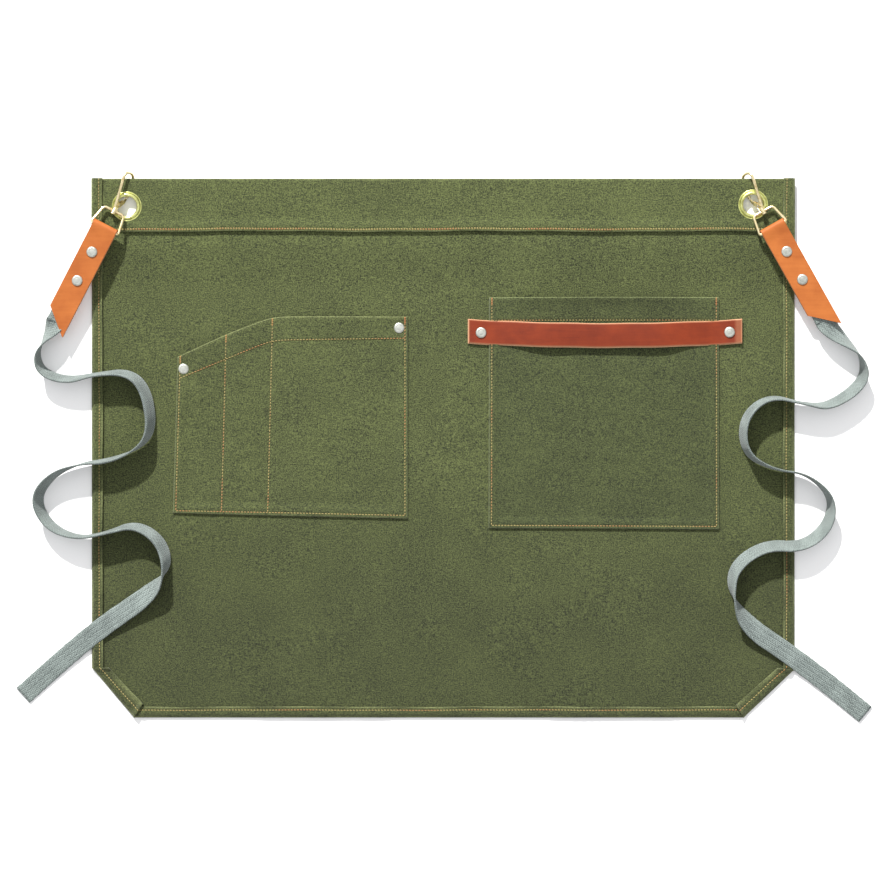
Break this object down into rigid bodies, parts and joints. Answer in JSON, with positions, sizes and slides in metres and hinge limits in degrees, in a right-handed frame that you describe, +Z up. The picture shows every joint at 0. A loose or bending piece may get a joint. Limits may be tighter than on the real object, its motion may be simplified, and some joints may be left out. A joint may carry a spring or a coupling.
{
  "type": "waist apron",
  "caption": "Half-length work apron of canvas with divided tool pocket, roomy patch pocket, leather tool band, and webbing ties on leather tabs clipped to eyelets by swivel hooks.",
  "frame": {"origin": "middle of the canvas panel's underside, on the surface that the apron lies on", "axes": "+X to the right seen from the front (the wearer's left), +Y from the bottom hem to the waistband, +Z up out of the front of the cloth"},
  "size_m": [0.8551, 0.5501, 0.0227],
  "materials": {
    "canvas": "olive cotton canvas, plain heathered weave, matt",
    "leather": "tan vegetable-tanned leather with paler cut edges",
    "band_leather": "red-brown leather with pale raw edges",
    "webbing": "grey herringbone webbing, matt",
    "hook_metal": "pale gold plated zinc, polished",
    "eyelet_metal": "greenish brass, polished",
    "rivet_metal": "nickel, satin",
    "spring_steel": "bright spring steel"
  },
  "bodies": {
    "apron": {"apron_panel": "canvas", "waistband": "canvas", "tool_pocket": "canvas", "large_pocket": "canvas", "leather_band": "band_leather", "tool_pocket_rivet_caps": "rivet_metal", "tool_pocket_rivet_studs": "rivet_metal", "band_rivet_caps": "rivet_metal", "band_rivet_studs": "rivet_metal", "left_eyelet": "eyelet_metal", "right_eyelet": "eyelet_metal", "left_eyelet_washer": "eyelet_metal", "right_eyelet_washer": "eyelet_metal"},
    "left_hook": {"left_hook_body": "hook_metal", "left_hook_gate_pin": "spring_steel", "left_hook_gate_spring": "spring_steel"},
    "left_gate": {"left_hook_gate": "hook_metal"},
    "left_loop": {"left_swivel_loop": "hook_metal"},
    "left_strap": {"left_strap_tab": "leather", "left_tab_rivet_caps": "rivet_metal", "left_tab_rivet_studs": "rivet_metal", "left_webbing_tie": "webbing"},
    "right_hook": {"right_hook_body": "hook_metal", "right_hook_gate_pin": "spring_steel", "right_hook_gate_spring": "spring_steel"},
    "right_gate": {"right_hook_gate": "hook_metal"},
    "right_loop": {"right_swivel_loop": "hook_metal"},
    "right_strap": {"right_strap_tab": "leather", "right_tab_rivet_caps": "rivet_metal", "right_tab_rivet_studs": "rivet_metal", "right_webbing_tie": "webbing"}
  },
  "joints": [
    {"name": "left_hook_swing", "type": "hinge", "parent": "apron", "child": "left_hook", "pos_m": [-0.3158, 0.2413, 0], "axis": [0, 0, 1], "range_deg": [-9, 0]},
    {"name": "left_gate_hinge", "type": "hinge", "parent": "left_hook", "child": "left_gate", "pos_m": [-0.32431, 0.24223, 0.00938], "axis": [0.7663, -0.2345, 0.5981], "range_deg": [0, 8], "stiffness_Nm_per_rad": 0.01, "springref_deg": -20.05},
    {"name": "left_loop_swivel", "type": "hinge", "parent": "left_hook", "child": "left_loop", "pos_m": [-0.3279, 0.2364, 0.0117], "axis": [-0.4486, -0.8618, 0.2368], "range_deg": [0, 12]},
    {"name": "left_strap_hinge", "type": "hinge", "parent": "left_loop", "child": "left_strap", "pos_m": [-0.33687, 0.21916, 0.01644], "axis": [-0.887, 0.4617, 0], "range_deg": [0, 90]},
    {"name": "right_hook_swing", "type": "hinge", "parent": "apron", "child": "right_hook", "pos_m": [0.3093, 0.2432, 0], "axis": [0, 0, 1], "range_deg": [0, 9]},
    {"name": "right_gate_hinge", "type": "hinge", "parent": "right_hook", "child": "right_gate", "pos_m": [0.31485, 0.24189, 0.00916], "axis": [0.7144, 0.2226, -0.6634], "range_deg": [0, 8], "stiffness_Nm_per_rad": 0.01, "springref_deg": -20.05},
    {"name": "right_loop_swivel", "type": "hinge", "parent": "right_hook", "child": "right_loop", "pos_m": [0.3187, 0.2362, 0.0114], "axis": [-0.479, 0.8467, -0.2317], "range_deg": [0, 12]},
    {"name": "right_strap_hinge", "type": "hinge", "parent": "right_loop", "child": "right_strap", "pos_m": [0.32828, 0.21927, 0.01604], "axis": [-0.8704, -0.4924, 0], "range_deg": [0, 90]}
  ]
}
